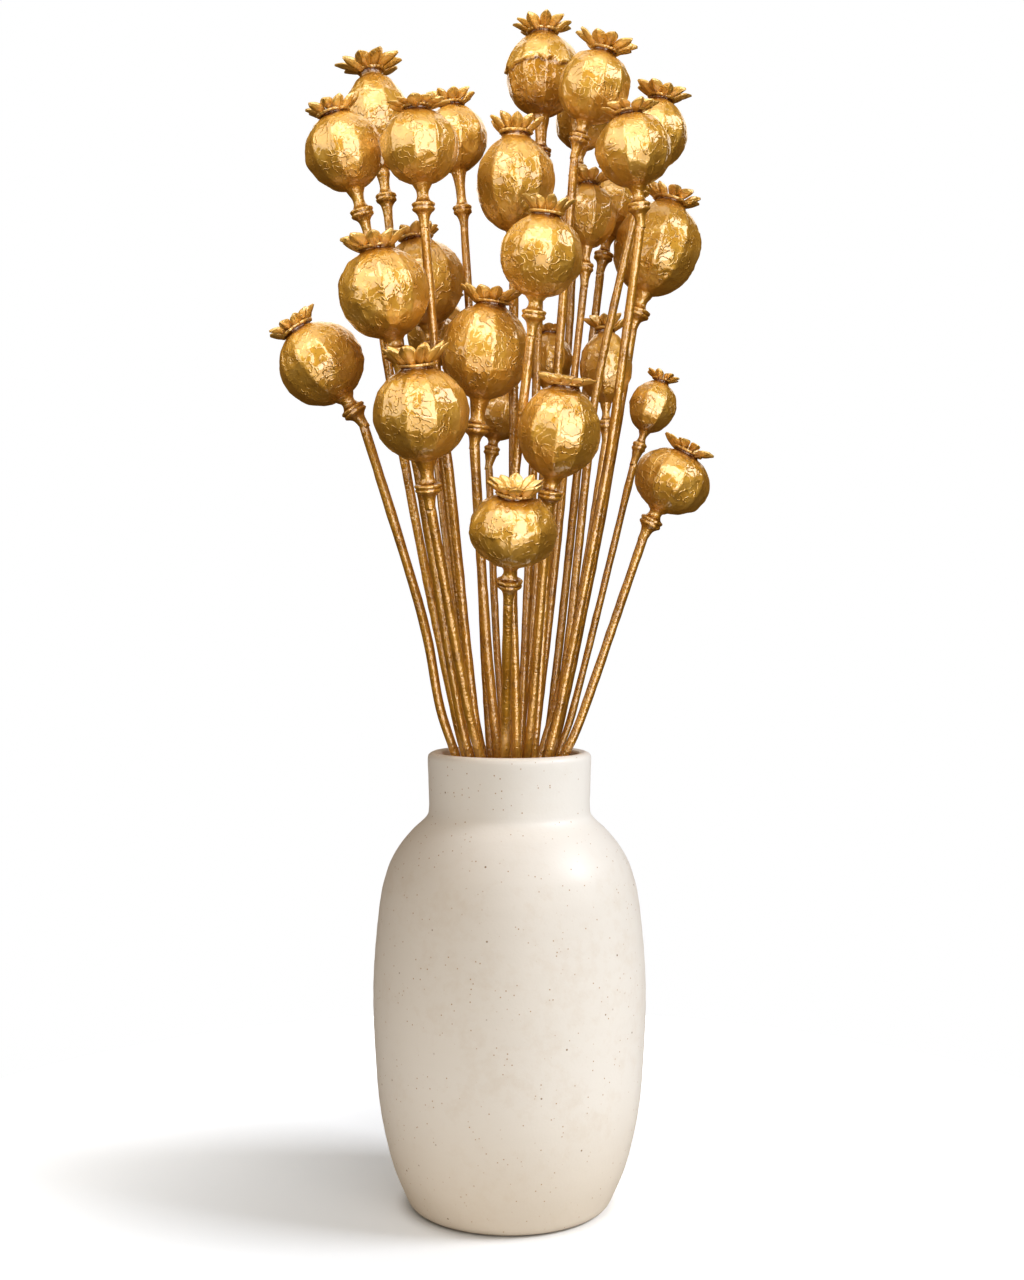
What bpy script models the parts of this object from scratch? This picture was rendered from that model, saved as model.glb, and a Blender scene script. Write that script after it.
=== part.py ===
"""A stoneware vase filled with gilded, dried poppy seed heads.

The vase is one turned solid with a hollow inside. Each poppy is one solid that grew as
one piece: stem, collar, neck, ribbed capsule and its crown of pointed lobes. The stems
stand on the floor of the vase and lean through its mouth without touching each other.
Lengths below are in millimetres and angles in degrees; MM turns lengths to metres.
"""
import math
from collections import namedtuple

import bmesh
import bpy
import numpy as np
from mathutils import Matrix, Vector

MM = 0.001

# Vase: outside from the rim down, as (radius, height)
RIM_TOP = 199.0
LIP_ROUND = 2.9
LIP_CENTRE = (33.0, RIM_TOP - LIP_ROUND)
VASE_OUTSIDE = [
    (35.6, 187.0), (35.6, 174.5), (36.8, 170.4), (43.0, 164.4), (48.6, 157.6), (53.6, 148.0),
    (57.4, 131.0), (60.0, 94.0), (57.6, 52.0), (51.4, 23.0), (44.6, 6.0), (41.6, 0.8), (40.6, 0.0),
]
VASE_INSIDE = [
    (29.9, 171.0), (35.0, 164.0), (44.0, 155.0), (52.0, 133.0), (54.3, 94.0), (51.6, 50.0),
    (39.0, 10.0), (35.0, 7.5),
]
VASE_STEPS = 40
LIP_STEPS = 4

# Poppies: one row each, seen from the front of the vase
#   x, y, z      middle of the collar, y to the back
#   right, front how far the head leans to the right and to the front
#   stem         how far the top of the stem leans to the right
#   long         from the collar to the lip under the crown
#   wide, neck   capsule width, and the bare neck between collar and capsule
#   crown, lobes width over the lobe tips, and how many lobes and ribs
#   rise         how steeply the lobes stand up
Poppy = namedtuple("Poppy", "x y z right front stem long wide neck crown lobes rise")
POPPIES = [
    Poppy(-56, 28, 448, -7, -3, -4, 59, 31, 12, 33, 10, 18),
    Poppy(-63, -15, 431, -16, 2, -8, 44, 33, 10, 25, 10, 28),
    Poppy(-36, -30, 430, -3, 4, -13, 41, 32, 9, 27, 10, 10),
    Poppy(-21, 17, 440, -6, -2, -5, 48, 28, 17, 23, 9, 30),
    Poppy(2, -8, 416, 1, 1, 0, 51, 34, 8, 25, 10, 42),
    Poppy(14, 23, 467, 1, -2, 0, 55, 32, 16, 29, 10, 22),
    Poppy(30, -13, 463, 16, 2, 6, 39, 30, 7, 28, 10, 25),
    Poppy(57, -2, 444, 13, 0, 17, 41, 29, 9, 25, 9, 24),
    Poppy(54, -34, 429, -6, 4, 5, 39, 31, 8, 26, 10, 14),
    Poppy(32, 50, 467, 6, -5, 4, 39, 26, 9, 22, 9, 25),
    Poppy(34, 20, 415, 3, -3, 4, 39, 25, 9, 22, 9, 25),
    Poppy(10, -47, 382, 7, 7, 8, 41, 33, 7, 22, 9, 50),
    Poppy(58, 29, 396, 17, -3, 9, 54, 39, 9, 29, 10, 24),
    Poppy(-47, -37, 368, -11, 6, -12, 44, 38, 6, 30, 10, 28),
    Poppy(-34, 9, 378, -9, -2, -6, 49, 36, 9, 24, 10, 30),
    Poppy(-14, -25, 338, 7, 5, -1, 53, 37, 12, 27, 10, 38),
    Poppy(-67, -11, 347, -35, 2, -27, 43, 36, 7, 24, 10, 34),
    Poppy(-33, -50, 311, -5, 12, -7, 50, 38, 11, 29, 10, 44),
    Poppy(17, 30, 356, 2, -5, 2, 33, 21, 7, 16, 8, 8),
    Poppy(43, 14, 344, 0, -3, 3, 43, 23, 9, 21, 8, 34),
    Poppy(17, -40, 309, 8, 10, 1, 46, 34, 7, 26, 10, 14),
    Poppy(0, -56, 272, 4, 20, 0, 38, 35, 8, 24, 10, 38),
    Poppy(58, 15, 334, 19, -3, 15, 32, 21, 7, 17, 8, 20),
    Poppy(61, -13, 299, 27, 4, 22, 34, 32, 6, 25, 10, 20),
    Poppy(-8, 21, 333, 11, -4, 0, 29, 23, 5, 14, 8, 20),
    Poppy(-36, 38, 366, 6, -6, -4, 40, 28, 8, 20, 9, 25),
    Poppy(44, 53, 427, 11, -6, 8, 41, 30, 9, 22, 9, 20),
]

# Proportions that all the poppies share
STEM_BASE, STEM_SHARE = 0.9, 0.0325     # stem radius is STEM_BASE + STEM_SHARE * wide
COLLAR_SHARE = 0.155                    # collar radius as a share of the capsule's width
NECK_SHARE = 0.075
LIP_SHARE = 0.19
RECESS_SHARE, RECESS = 0.17, 1.0
COLLAR_HALF = 2.0
STEM_SIDES = 6
RIB = 0.045                             # ribs stand this share above the mean radius
CAPSULE_RINGS = (0.10, 0.30, 0.56, 0.80, 0.94)
FULLNESS, FULLNESS_TALL = 0.44, 0.25    # a lower figure is a rounder shoulder and base
LOBE_THICK = 0.9
LOBE_VALLEY = 0.56                      # how far out the lobes part, as a share of their reach
CROWN_DISH = 0.45                       # inner ring of the crown as a share of the lip
VALLEY_OUT = 1.12                       # the lobes part at least this far outside the lip
SHORTER_LOBE, LOBE_STEP = 0.06, 2.3     # how much the lobes differ, and how that changes round
HEAD_TURN = 0.7                         # turns each head on from the last, in radians

# Where the stems stand and how they are spread
FOOT_HEIGHT = 8.0
MOUTH_HEIGHT = 190.0
MOUTH_SHARE = 0.31                      # a stem's place in the mouth over its place above
MOUTH_SPACING = 6.8
MOUTH_LEAN = 1.2                        # how much faster a stem leans out at the mouth
STRAIGHTEN = 20.0                       # the stems turn upright this far under the mouth
SLICE = 6.0
STEM_GAP = 1.3
HEAD_GAP = 1.8
STEM_PUSH, HEAD_PUSH, MOUTH_PUSH = 0.4, 0.8, 0.25
HELD_BELOW = 7.0                        # a stem is held from here up, under its collar
FREE_OVER = 30.0                        # and moves fully this far below that
SETTLE_ROUNDS = 320
STEM_PIECE = 36.0

COLLECTION = "Gilded_poppy_vase"


def clear_scene():
    for thing in list(bpy.data.objects):
        bpy.data.objects.remove(thing)


def finish(name, colour, roughness, metallic):
    """A plain Principled material."""
    material = bpy.data.materials.new(name)
    material.use_nodes = True
    shader = material.node_tree.nodes["Principled BSDF"]
    shader.inputs["Base Color"].default_value = (*colour, 1.0)
    shader.inputs["Roughness"].default_value = roughness
    shader.inputs["Metallic"].default_value = metallic
    return material


def link(name, data, collection):
    thing = bpy.data.objects.new(name, data)
    collection.objects.link(thing)
    return thing


def evaluated_mesh(thing):
    """The object's mesh with its modifiers and its place applied."""
    depsgraph = bpy.context.evaluated_depsgraph_get()
    mesh = bpy.data.meshes.new_from_object(thing.evaluated_get(depsgraph))
    mesh.transform(thing.matrix_world)
    return mesh


def turned(name, outline, steps, collection):
    """A Screw of an outline of (radius, height) that runs down its outer side."""
    mesh = bpy.data.meshes.new(name)
    points = [(radius * MM, 0.0, height * MM) for radius, height in outline]
    mesh.from_pydata(points, [(i, i + 1) for i in range(len(points) - 1)], [])
    thing = link(name, mesh, collection)
    screw = thing.modifiers.new("Screw", "SCREW")
    screw.steps = screw.render_steps = steps
    screw.use_merge_vertices = True
    screw.merge_threshold = 0.00001
    screw.use_smooth_shade = True
    return thing


def vase(collection):
    """The vase: floor, inner wall, rounded lip, outer wall and flat base in one outline."""
    lip = []
    for step in range(LIP_STEPS + 1):
        angle = math.pi * (1 - step / LIP_STEPS)
        lip.append((LIP_CENTRE[0] + LIP_ROUND * math.cos(angle),
                    LIP_CENTRE[1] + LIP_ROUND * math.sin(angle)))
    floor = VASE_INSIDE[-1][1]
    outline = [(0.0, floor)] + VASE_INSIDE[::-1] + lip + VASE_OUTSIDE + [(0.0, 0.0)]
    thing = turned("Vase", outline, VASE_STEPS, collection)
    thing.data.materials.append(finish("Cream_stoneware", (0.78, 0.70, 0.59), 0.5, 0.0))
    return thing


def collar_of(poppy):
    return np.array([poppy.x, poppy.y, poppy.z], float)


def axis_of(poppy):
    lean = np.array([math.tan(math.radians(poppy.right)),
                     -math.tan(math.radians(poppy.front)), 1.0])
    return lean / np.linalg.norm(lean)


def stem_radius(poppy):
    return STEM_BASE + STEM_SHARE * poppy.wide


def capsule_height(poppy):
    return poppy.long - poppy.neck - RECESS


def capsule_radius(poppy, share):
    """Radius at a share of the capsule's height, from its neck to the recess on top."""
    power = FULLNESS + FULLNESS_TALL * (capsule_height(poppy) / poppy.wide - 1.0)
    return poppy.wide / 2 * math.sin(math.pi * share) ** power


def head_outline(poppy):
    """The head's turned outline from the crown's middle down, as (radius, height)."""
    tall = capsule_height(poppy)
    lip = LIP_SHARE * poppy.wide
    reach = poppy.crown / 2
    tip = poppy.long + (reach - lip) * math.tan(math.radians(poppy.rise))
    outline = [
        (0.0, poppy.long + LOBE_THICK),
        (CROWN_DISH * lip, poppy.long + LOBE_THICK),
        (reach, tip + LOBE_THICK),
        (reach, tip),
        (RECESS_SHARE * poppy.wide, poppy.long - RECESS),
    ]
    for share in reversed(CAPSULE_RINGS):
        outline.append((capsule_radius(poppy, share), poppy.neck + tall * share))
    outline.append((0.5 * NECK_SHARE * poppy.wide, poppy.neck + 0.5))
    outline.append((0.0, poppy.neck + 0.5))
    return outline


def ribs_and_lobes(mesh, poppy, outline):
    """Raises the ribs and draws the crown's rim in between the lobes, by formula."""
    lip = LIP_SHARE * poppy.wide
    reach = poppy.crown / 2
    first_rib = 5
    last_rib = first_rib + len(CAPSULE_RINGS) - 1
    for vertex in mesh.vertices:
        x, y, z = (value / MM for value in vertex.co)
        radius = math.hypot(x, y)
        ring = min(range(len(outline)),
                   key=lambda i: abs(outline[i][0] - radius) + abs(outline[i][1] - z))
        column = round(math.atan2(y, x) / math.pi * poppy.lobes)
        on_rib = column % 2 == 0
        scale = 1.0
        if ring in (2, 3):
            if on_rib:
                scale = 1.0 - SHORTER_LOBE * (1 + math.sin(LOBE_STEP * column))
            else:
                scale = max(LOBE_VALLEY, VALLEY_OUT * lip / reach)
            z -= (1 - scale) * (outline[3][1] - poppy.long)
        elif first_rib <= ring <= last_rib:
            scale = 1.0 + RIB if on_rib else 1.0 - RIB
        vertex.co = (x * scale * MM, y * scale * MM, z * MM)


def head(poppy, name, turn, collection):
    """Capsule and crown as one solid, set on its collar and leaning as it grew."""
    outline = head_outline(poppy)
    lathe = turned(name, outline, 2 * poppy.lobes, collection)
    mesh = evaluated_mesh(lathe)
    bpy.data.objects.remove(lathe)
    ribs_and_lobes(mesh, poppy, outline)
    lean = Vector((0, 0, 1)).rotation_difference(Vector(axis_of(poppy))).to_matrix().to_4x4()
    place = Matrix.Translation(Vector(collar_of(poppy)) * MM)
    mesh.transform(place @ lean @ Matrix.Rotation(turn, 4, "Z"))
    return link(name, mesh, collection)


def head_slice(poppy, height):
    """Where the leaning head is at a height: its middle there and its radius, or None."""
    collar, axis = collar_of(poppy), axis_of(poppy)
    along = (height - collar[2]) / axis[2]
    middle = collar[:2] + axis[:2] * along
    slack = poppy.wide / 2 * math.hypot(axis[0], axis[1])
    if along < -COLLAR_HALF - slack or along > poppy.long + poppy.crown / 3:
        return middle, 0.0
    if along > poppy.long:
        return middle, poppy.crown / 2
    share = (along - poppy.neck) / (poppy.long - poppy.neck)
    round_part = capsule_radius(poppy, share) if 0 < share < 1 else 0.0
    return middle, max(round_part, COLLAR_SHARE * poppy.wide) / axis[2]


def vase_hole(height):
    """Inner radius of the vase at a height, and a wide figure above the rim."""
    heights = [point[1] for point in VASE_INSIDE[::-1]]
    radii = [point[0] for point in VASE_INSIDE[::-1]]
    return float(np.interp(height, heights, radii)) if height < RIM_TOP else 1000.0


def first_route(poppy, heights, mouth):
    """A smooth way for one stem: upright in the vase, through its mouth, up to the collar."""
    axis = axis_of(poppy)
    top = collar_of(poppy) - axis * 6.0
    rise = top[2] - MOUTH_HEIGHT
    start = MOUTH_LEAN * (top[:2] - mouth) / rise
    forward = 0.5 * (axis[1] / axis[2] + (top[1] - mouth[1]) / rise)
    end = np.array([math.tan(math.radians(poppy.stem)), forward])
    route = np.zeros((len(heights), 2))
    for i, height in enumerate(heights):
        if height < MOUTH_HEIGHT:
            drop = MOUTH_HEIGHT - height
            route[i] = mouth - start * STRAIGHTEN * (1 - math.exp(-drop / STRAIGHTEN))
        elif height < top[2]:
            t = (height - MOUTH_HEIGHT) / rise
            route[i] = ((2 * t**3 - 3 * t**2 + 1) * mouth + (t**3 - 2 * t**2 + t) * rise * start
                        + (3 * t**2 - 2 * t**3) * top[:2] + (t**3 - t**2) * rise * end)
        else:
            route[i] = top[:2] + end * (height - top[2])
    return route


def spread_mouth():
    """Each stem's place in the vase's mouth: under its head, and clear of the others."""
    places = np.array([[p.x, p.y] for p in POPPIES]) * MOUTH_SHARE
    thickest = max(stem_radius(p) for p in POPPIES)
    room = min(radius for radius, _ in VASE_INSIDE) - STEM_GAP - thickest
    for _ in range(SETTLE_ROUNDS):
        for i in range(len(places)):
            for j in range(i):
                gap = places[i] - places[j]
                apart = np.linalg.norm(gap)
                if apart < MOUTH_SPACING:
                    push = gap / max(apart, 0.01) * (MOUTH_SPACING - apart) * MOUTH_PUSH
                    places[i] += push
                    places[j] -= push
        reach = np.linalg.norm(places, axis=1, keepdims=True)
        places *= np.minimum(1.0, room / np.maximum(reach, 0.01))
    return places


def settle():
    """Routes for all the stems. In each horizontal slice they push each other, the heads
    and the vase's wall away, and the pushes are smoothed along each stem."""
    heights = np.arange(FOOT_HEIGHT, max(p.z for p in POPPIES), SLICE)
    places = spread_mouth()
    first = np.array([first_route(p, heights, m) for p, m in zip(POPPIES, places)])
    radii = np.array([stem_radius(p) for p in POPPIES])
    slices = [[head_slice(p, h) for h in heights] for p in POPPIES]
    middles = np.array([[s[0] for s in row] for row in slices])
    bulges = np.array([[s[1] for s in row] for row in slices])
    tops = np.array([p.z - HELD_BELOW for p in POPPIES])
    free = np.clip((tops[:, None] - heights[None, :]) / FREE_OVER, 0.0, 1.0)
    there = heights[None, :] < tops[:, None] + SLICE
    holes = np.array([vase_hole(h) for h in heights])
    own = np.eye(len(POPPIES), dtype=bool)[:, :, None]
    need = (radii[:, None] + radii[None, :] + STEM_GAP)[:, :, None]
    shift = np.zeros_like(first)
    for _ in range(SETTLE_ROUNDS):
        at = first + shift
        gap = at[:, None] - at[None, :]
        apart = np.linalg.norm(gap, axis=3) + 0.001
        short = np.where(there[:, None] & there[None, :] & ~own, need - apart, 0.0).clip(0.0)
        push = (gap / apart[..., None] * short[..., None] * STEM_PUSH).sum(axis=1)
        gap = at[:, None] - middles[None, :]
        apart = np.linalg.norm(gap, axis=3) + 0.001
        clear = bulges[None, :] + radii[:, None, None] + HEAD_GAP
        short = np.where((bulges[None, :] > 0) & ~own, clear - apart, 0.0).clip(0.0)
        push += (gap / apart[..., None] * short[..., None] * HEAD_PUSH).sum(axis=1)
        reach = np.linalg.norm(at, axis=2) + 0.001
        over = (reach + radii[:, None] + STEM_GAP - holes[None, :]).clip(0.0)
        push -= at / reach[..., None] * over[..., None]
        shift += push * free[..., None]
        for _ in range(3):
            inner = shift[:, 2:] - 2 * shift[:, 1:-1] + shift[:, :-2]
            shift[:, 1:-1] += 0.25 * inner
            shift[:, 0] = shift[:, 1]
        shift *= np.where(free > 0, 1.0, 0.0)[..., None]
    return heights, first + shift


def stem_outline(poppy, heights, route):
    """Points and radii of the stem, its collar and its neck, from the foot up."""
    collar, axis = collar_of(poppy), axis_of(poppy)
    stem = stem_radius(poppy)
    top = collar[2] - 6.0 * axis[2]
    pieces = max(2, round((top - MOUTH_HEIGHT) / STEM_PIECE))
    levels = [FOOT_HEIGHT, 0.5 * MOUTH_HEIGHT]
    levels += list(np.linspace(MOUTH_HEIGHT - 12.0, top, pieces + 1)[:-1])
    points = []
    for level in levels:
        x = np.interp(level, heights, route[:, 0])
        y = np.interp(level, heights, route[:, 1])
        points.append((np.array([x, y, level]), stem))
    neck = NECK_SHARE * poppy.wide
    swell = COLLAR_SHARE * poppy.wide
    for along, radius in (
        (-6.0, stem), (-3.2, stem * 1.25), (-COLLAR_HALF, swell), (COLLAR_HALF, swell * 0.92),
        (COLLAR_HALF + 1.0, neck * 1.1), (poppy.neck, neck * 1.35), (poppy.neck + 3.0, neck * 1.8),
    ):
        points.append((collar + axis * along, radius))
    return points


def stem(poppy, name, heights, route, collection):
    """The stem, collar and neck as one tube of changing width along a smooth route."""
    outline = stem_outline(poppy, heights, route)
    curve = bpy.data.curves.new(name, "CURVE")
    curve.dimensions = "3D"
    curve.bevel_depth = MM
    curve.bevel_resolution = (STEM_SIDES - 4) // 2
    curve.use_fill_caps = True
    spline = curve.splines.new("POLY")
    spline.points.add(len(outline) - 1)
    for point, (place, radius) in zip(spline.points, outline):
        point.co = (*(place * MM), 1.0)
        point.radius = radius
    tube = link(name, curve, collection)
    mesh = evaluated_mesh(tube)
    bpy.data.objects.remove(tube)
    shape = bmesh.new()
    shape.from_mesh(mesh)
    bmesh.ops.remove_doubles(shape, verts=shape.verts, dist=0.00001)
    shape.to_mesh(mesh)
    shape.free()
    return link(name, mesh, collection)


def poppy_solid(number, poppy, heights, route, gold, collection, cutters):
    """One whole poppy: the tube and the head joined by a Boolean union."""
    name = f"Poppy_{number:02d}"
    tube = stem(poppy, name, heights, route, collection)
    top = head(poppy, name + "_head", HEAD_TURN * number, cutters)
    join = tube.modifiers.new("Join", "BOOLEAN")
    join.operation = "UNION"
    join.object = top
    joined = evaluated_mesh(tube)
    bpy.data.objects.remove(tube)
    bpy.data.objects.remove(top)
    joined.materials.clear()
    joined.materials.append(gold)
    joined.shade_smooth()
    joined.set_sharp_from_angle(angle=math.radians(50))
    return link(name, joined, collection)


def main():
    clear_scene()
    parts = bpy.data.collections.new(COLLECTION)
    cutters = bpy.data.collections.new("Cutters")
    bpy.context.scene.collection.children.link(parts)
    bpy.context.scene.collection.children.link(cutters)
    vase(parts)
    heights, routes = settle()
    gold = finish("Gold_paint", (0.62, 0.37, 0.09), 0.32, 1.0)
    for number, (poppy, route) in enumerate(zip(POPPIES, routes), start=1):
        poppy_solid(number, poppy, heights, route, gold, parts, cutters)


main()
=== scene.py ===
# %% [markdown]
# # A vase of gilded poppy seed heads
#
# Dried poppy heads, sprayed with gold paint, stand in a cream stoneware vase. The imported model
# gives every piece its place and size. This lesson measures those solids and dresses them: each
# poppy is grown again with ribs, creases and leafy lobes, and the vase is turned again, finely.
# Lengths are metres, as Blender wants them. A name that ends in MM holds millimetres.

# %% Load the frame
import math

import bmesh
import bpy
import numpy as np
from mathutils import Matrix, Vector


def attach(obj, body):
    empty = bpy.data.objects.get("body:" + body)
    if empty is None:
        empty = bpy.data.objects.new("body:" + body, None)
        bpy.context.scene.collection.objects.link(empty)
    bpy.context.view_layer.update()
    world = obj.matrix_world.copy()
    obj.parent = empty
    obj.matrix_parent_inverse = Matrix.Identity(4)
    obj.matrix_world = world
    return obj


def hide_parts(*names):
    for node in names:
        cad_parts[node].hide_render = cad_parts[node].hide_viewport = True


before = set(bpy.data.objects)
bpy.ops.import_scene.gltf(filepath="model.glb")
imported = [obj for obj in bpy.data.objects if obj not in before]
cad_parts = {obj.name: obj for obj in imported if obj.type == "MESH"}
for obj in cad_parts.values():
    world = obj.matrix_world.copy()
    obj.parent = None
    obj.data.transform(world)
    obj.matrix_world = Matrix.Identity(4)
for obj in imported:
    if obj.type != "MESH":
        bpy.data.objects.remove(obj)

MM = 0.001
bpy.context.view_layer.update()
names = sorted(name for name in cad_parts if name.startswith("Poppy"))

# %% [markdown]
# ## The camera
#
# The vase's lip shows as a very thin ellipse and its base as a fuller one, so the picture was
# taken from close by, a little above the lip. A longer lens from further off would flatten both.
# The focal length in pixels and the picture's height give the lens on a 36 mm sensor.

# %% Camera
PICTURE_HIGH = 1280
FOCAL_PIXELS = 1640
SENSOR_MM = 36.0
EYE = Vector((0.0011, -0.720, 0.262))
LOOK_DOWN = math.radians(1.12)

camera = bpy.data.objects.new("Camera", bpy.data.cameras.new("Camera"))
camera.data.sensor_width = SENSOR_MM
camera.data.lens = FOCAL_PIXELS / PICTURE_HIGH * SENSOR_MM
camera.location = EYE
camera.rotation_euler = (math.radians(90) - LOOK_DOWN, 0.0, 0.0)
bpy.context.scene.collection.objects.link(camera)
bpy.context.scene.camera = camera
print("lens mm:", round(camera.data.lens, 1))

# %% [markdown]
# ## Two helpers
#
# Colours are written as sRGB hex, as a paint chart gives them, and shaders want linear light.
# Node trees are built with one function that adds a node, sets it and links it.


# %% Helpers
def linear(colour):
    """An sRGB hex colour as linear RGBA."""
    channels = [int(colour[i:i + 2], 16) / 255 for i in (1, 3, 5)]
    return [c / 12.92 if c <= 0.04045 else ((c + 0.055) / 1.055) ** 2.4 for c in channels] + [1.0]


def add(tree, kind, settings=None, inputs=None):
    """Adds a node with its settings. An input takes a value, a socket, or a node's first output."""
    node = tree.nodes.new(kind)
    for key, value in (settings or {}).items():
        setattr(node, key, value)
    for key, value in (inputs or {}).items():
        if isinstance(value, bpy.types.Node):
            value = next(socket for socket in value.outputs if socket.enabled)
        if isinstance(value, bpy.types.NodeSocket):
            tree.links.new(value, node.inputs[key])
        else:
            node.inputs[key].default_value = value
    return node


print("a middle grey in linear light:", round(linear("#808080")[0], 3))

# %% [markdown]
# ## Gold paint: where it creases
#
# Spray paint dries as a skin over a skin. The pod underneath has shrunk, and its creases come in
# patches: some sides are crumpled like foil, others nearly smooth. A ridged noise draws thin
# lines that stand up, as creases do, and a broad soft noise says how strongly they show.

# %% Paint creases
PATCH_MM = 9.0
CREASE_MM = 2.8
CALM_CREASE = 0.35


def paint_creases(tree, place):
    """Two sockets: how creased a patch of skin is, and the creases themselves."""
    patch = add(tree, "ShaderNodeTexNoise", None, {
        "Vector": place, "Scale": 1 / (PATCH_MM * MM), "Detail": 3.0, "Roughness": 0.6})
    line = add(tree, "ShaderNodeTexNoise", {"noise_type": "RIDGED_MULTIFRACTAL"}, {
        "Vector": place, "Scale": 1 / (CREASE_MM * MM), "Detail": 1.0, "Offset": 1.0})
    strength = add(tree, "ShaderNodeMapRange", {"interpolation_type": "SMOOTHSTEP"}, {
        "Value": patch.outputs["Fac"], "From Min": 0.42, "From Max": 0.6, "To Min": CALM_CREASE})
    crease = add(tree, "ShaderNodeMapRange", {"interpolation_type": "SMOOTHSTEP"}, {
        "Value": line.outputs["Fac"], "From Min": 0.95, "From Max": 1.4, "To Max": strength})
    return patch.outputs["Fac"], crease.outputs["Result"]


print("creases mm:", CREASE_MM, "in patches of mm:", PATCH_MM)

# %% [markdown]
# ## Gold paint: its colour
#
# The paint is darkened brown in recesses and grooves as painted shade, made pale on rims, lobes
# and the lip as painted highlight, and misses small spots. Each mesh carries an attribute, tone,
# the painted shade and highlight, that says how deep a point lies: 1 in the recess under a crown,
# 0 on open skin, and below 0 on rims and lobes. That ties the painted light to the shape, which a
# noise alone can't. A slow drift is added, since no spray is even.

# %% Paint colour
# The palest stop is painted highlight, the darkest painted shade, and the two between the gold.
PAINTED_HIGHLIGHT = -0.3
GOLD_HIGHLIGHT_TO_SHADE_STOPS = [(0.0, "#FFE08C"), (0.23, "#EEC660"), (0.6, "#DCAC44"), (1.0, "#84490A")]
FLECK_MM = 1.5
FLECK_BROWN = "#5A3408"


def set_stops(ramp, stops):
    """Gives a colour ramp its stops, each a place on it and an sRGB colour."""
    for element, (at, colour) in zip(ramp.elements, (stops[0], stops[-1])):
        element.position = at
        element.color = linear(colour)
    for at, colour in stops[1:-1]:
        ramp.elements.new(at).color = linear(colour)


def paint_colour(tree, place, patch, depth):
    """Painted highlight on rims, painted shade in recesses, flecks where skin creased most."""
    shade = add(tree, "ShaderNodeMapRange", None, {"Value": depth, "From Min": PAINTED_HIGHLIGHT})
    body = add(tree, "ShaderNodeValToRGB", None, {"Fac": shade})
    set_stops(body.color_ramp, GOLD_HIGHLIGHT_TO_SHADE_STOPS)
    fleck = add(tree, "ShaderNodeTexVoronoi", None, {
        "Vector": place, "Scale": 1 / (FLECK_MM * MM), "Randomness": 1.0})
    is_fleck = add(tree, "ShaderNodeMapRange", None, {
        "Value": fleck.outputs["Distance"], "From Min": 0.16, "From Max": 0.1})
    some = add(tree, "ShaderNodeMapRange", None, {
        "Value": patch, "From Min": 0.52, "From Max": 0.6})
    flecks = add(tree, "ShaderNodeMath", {"operation": "MULTIPLY"}, {
        0: is_fleck.outputs["Result"], 1: some.outputs["Result"]})
    return add(tree, "ShaderNodeMix", {"data_type": "RGBA"}, {
        0: flecks, 6: body.outputs["Color"], 7: linear(FLECK_BROWN)}).outputs[2]


print("paint colours:", [colour for _, colour in GOLD_HIGHLIGHT_TO_SHADE_STOPS], "flecks:", FLECK_BROWN)

# %% [markdown]
# ## Gold paint: its relief
#
# A second attribute, skin, is high on the pods and low on stems and collars. Where it is high the
# creases show as bump, and where it is low the paint stands in little drops instead. A fine
# crackle covers both. The large creases are real shape, made further down. This is what is left.

# %% Paint relief
CREASE_DEEP_MM = 0.2
BEAD_MM, BEAD_HIGH_MM = 1.3, 0.45
CRACKLE_MM, CRACKLE_DEEP_MM, CRACKLE_STRENGTH = 0.5, 0.06, 0.2


def paint_relief(tree, place, crease, skin):
    """The bumped normal of creases, drops and crackle."""
    deep = add(tree, "ShaderNodeMath", {"operation": "MULTIPLY"}, {0: crease, 1: skin})
    creased = add(tree, "ShaderNodeBump", None, {
        "Height": deep, "Strength": 1.0, "Distance": CREASE_DEEP_MM * MM})
    bead = add(tree, "ShaderNodeTexNoise", None, {
        "Vector": place, "Scale": 1 / (BEAD_MM * MM), "Detail": 1.0})
    no_skin = add(tree, "ShaderNodeMath", {"operation": "SUBTRACT", "use_clamp": True}, {
        0: 1.0, 1: skin})
    high = add(tree, "ShaderNodeMath", {"operation": "MULTIPLY"}, {
        0: bead.outputs["Fac"], 1: no_skin})
    beaded = add(tree, "ShaderNodeBump", None, {
        "Height": high, "Strength": 1.0, "Distance": BEAD_HIGH_MM * MM, "Normal": creased})
    crackle = add(tree, "ShaderNodeTexNoise", None, {
        "Vector": place, "Scale": 1 / (CRACKLE_MM * MM), "Detail": 2.0})
    return add(tree, "ShaderNodeBump", None, {
        "Height": crackle.outputs["Fac"], "Strength": CRACKLE_STRENGTH,
        "Distance": CRACKLE_DEEP_MM * MM, "Normal": beaded}).outputs["Normal"]


print("drops mm:", BEAD_MM, "crackle mm:", CRACKLE_MM)

# %% [markdown]
# ## Gold paint: metal under lacquer
#
# The paint is metal flakes in clear lacquer. Flakes lie at all angles, so they glow and never
# mirror: a metal with a high roughness. The lacquer over them is smooth and mirrors the lamp
# sharply: a coat. Its index of refraction is set above a real lacquer's, until its white windows
# are as strong as in the photograph. A metal alone could only mirror the lamp in yellow.

# %% Gold paint
DRIFT_FROM, DRIFT_TO = -0.12, 0.3
ROUGH_ON_SKIN, ROUGH_IN_RECESS = 0.58, 0.66
ROUGHER_ON_SKIN, SMOOTHER_ON_CREASE = 0.04, -0.1
COAT = {"Metallic": 1.0, "Coat Weight": 1.0, "Coat Roughness": 0.035, "Coat IOR": 2.5}


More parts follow.
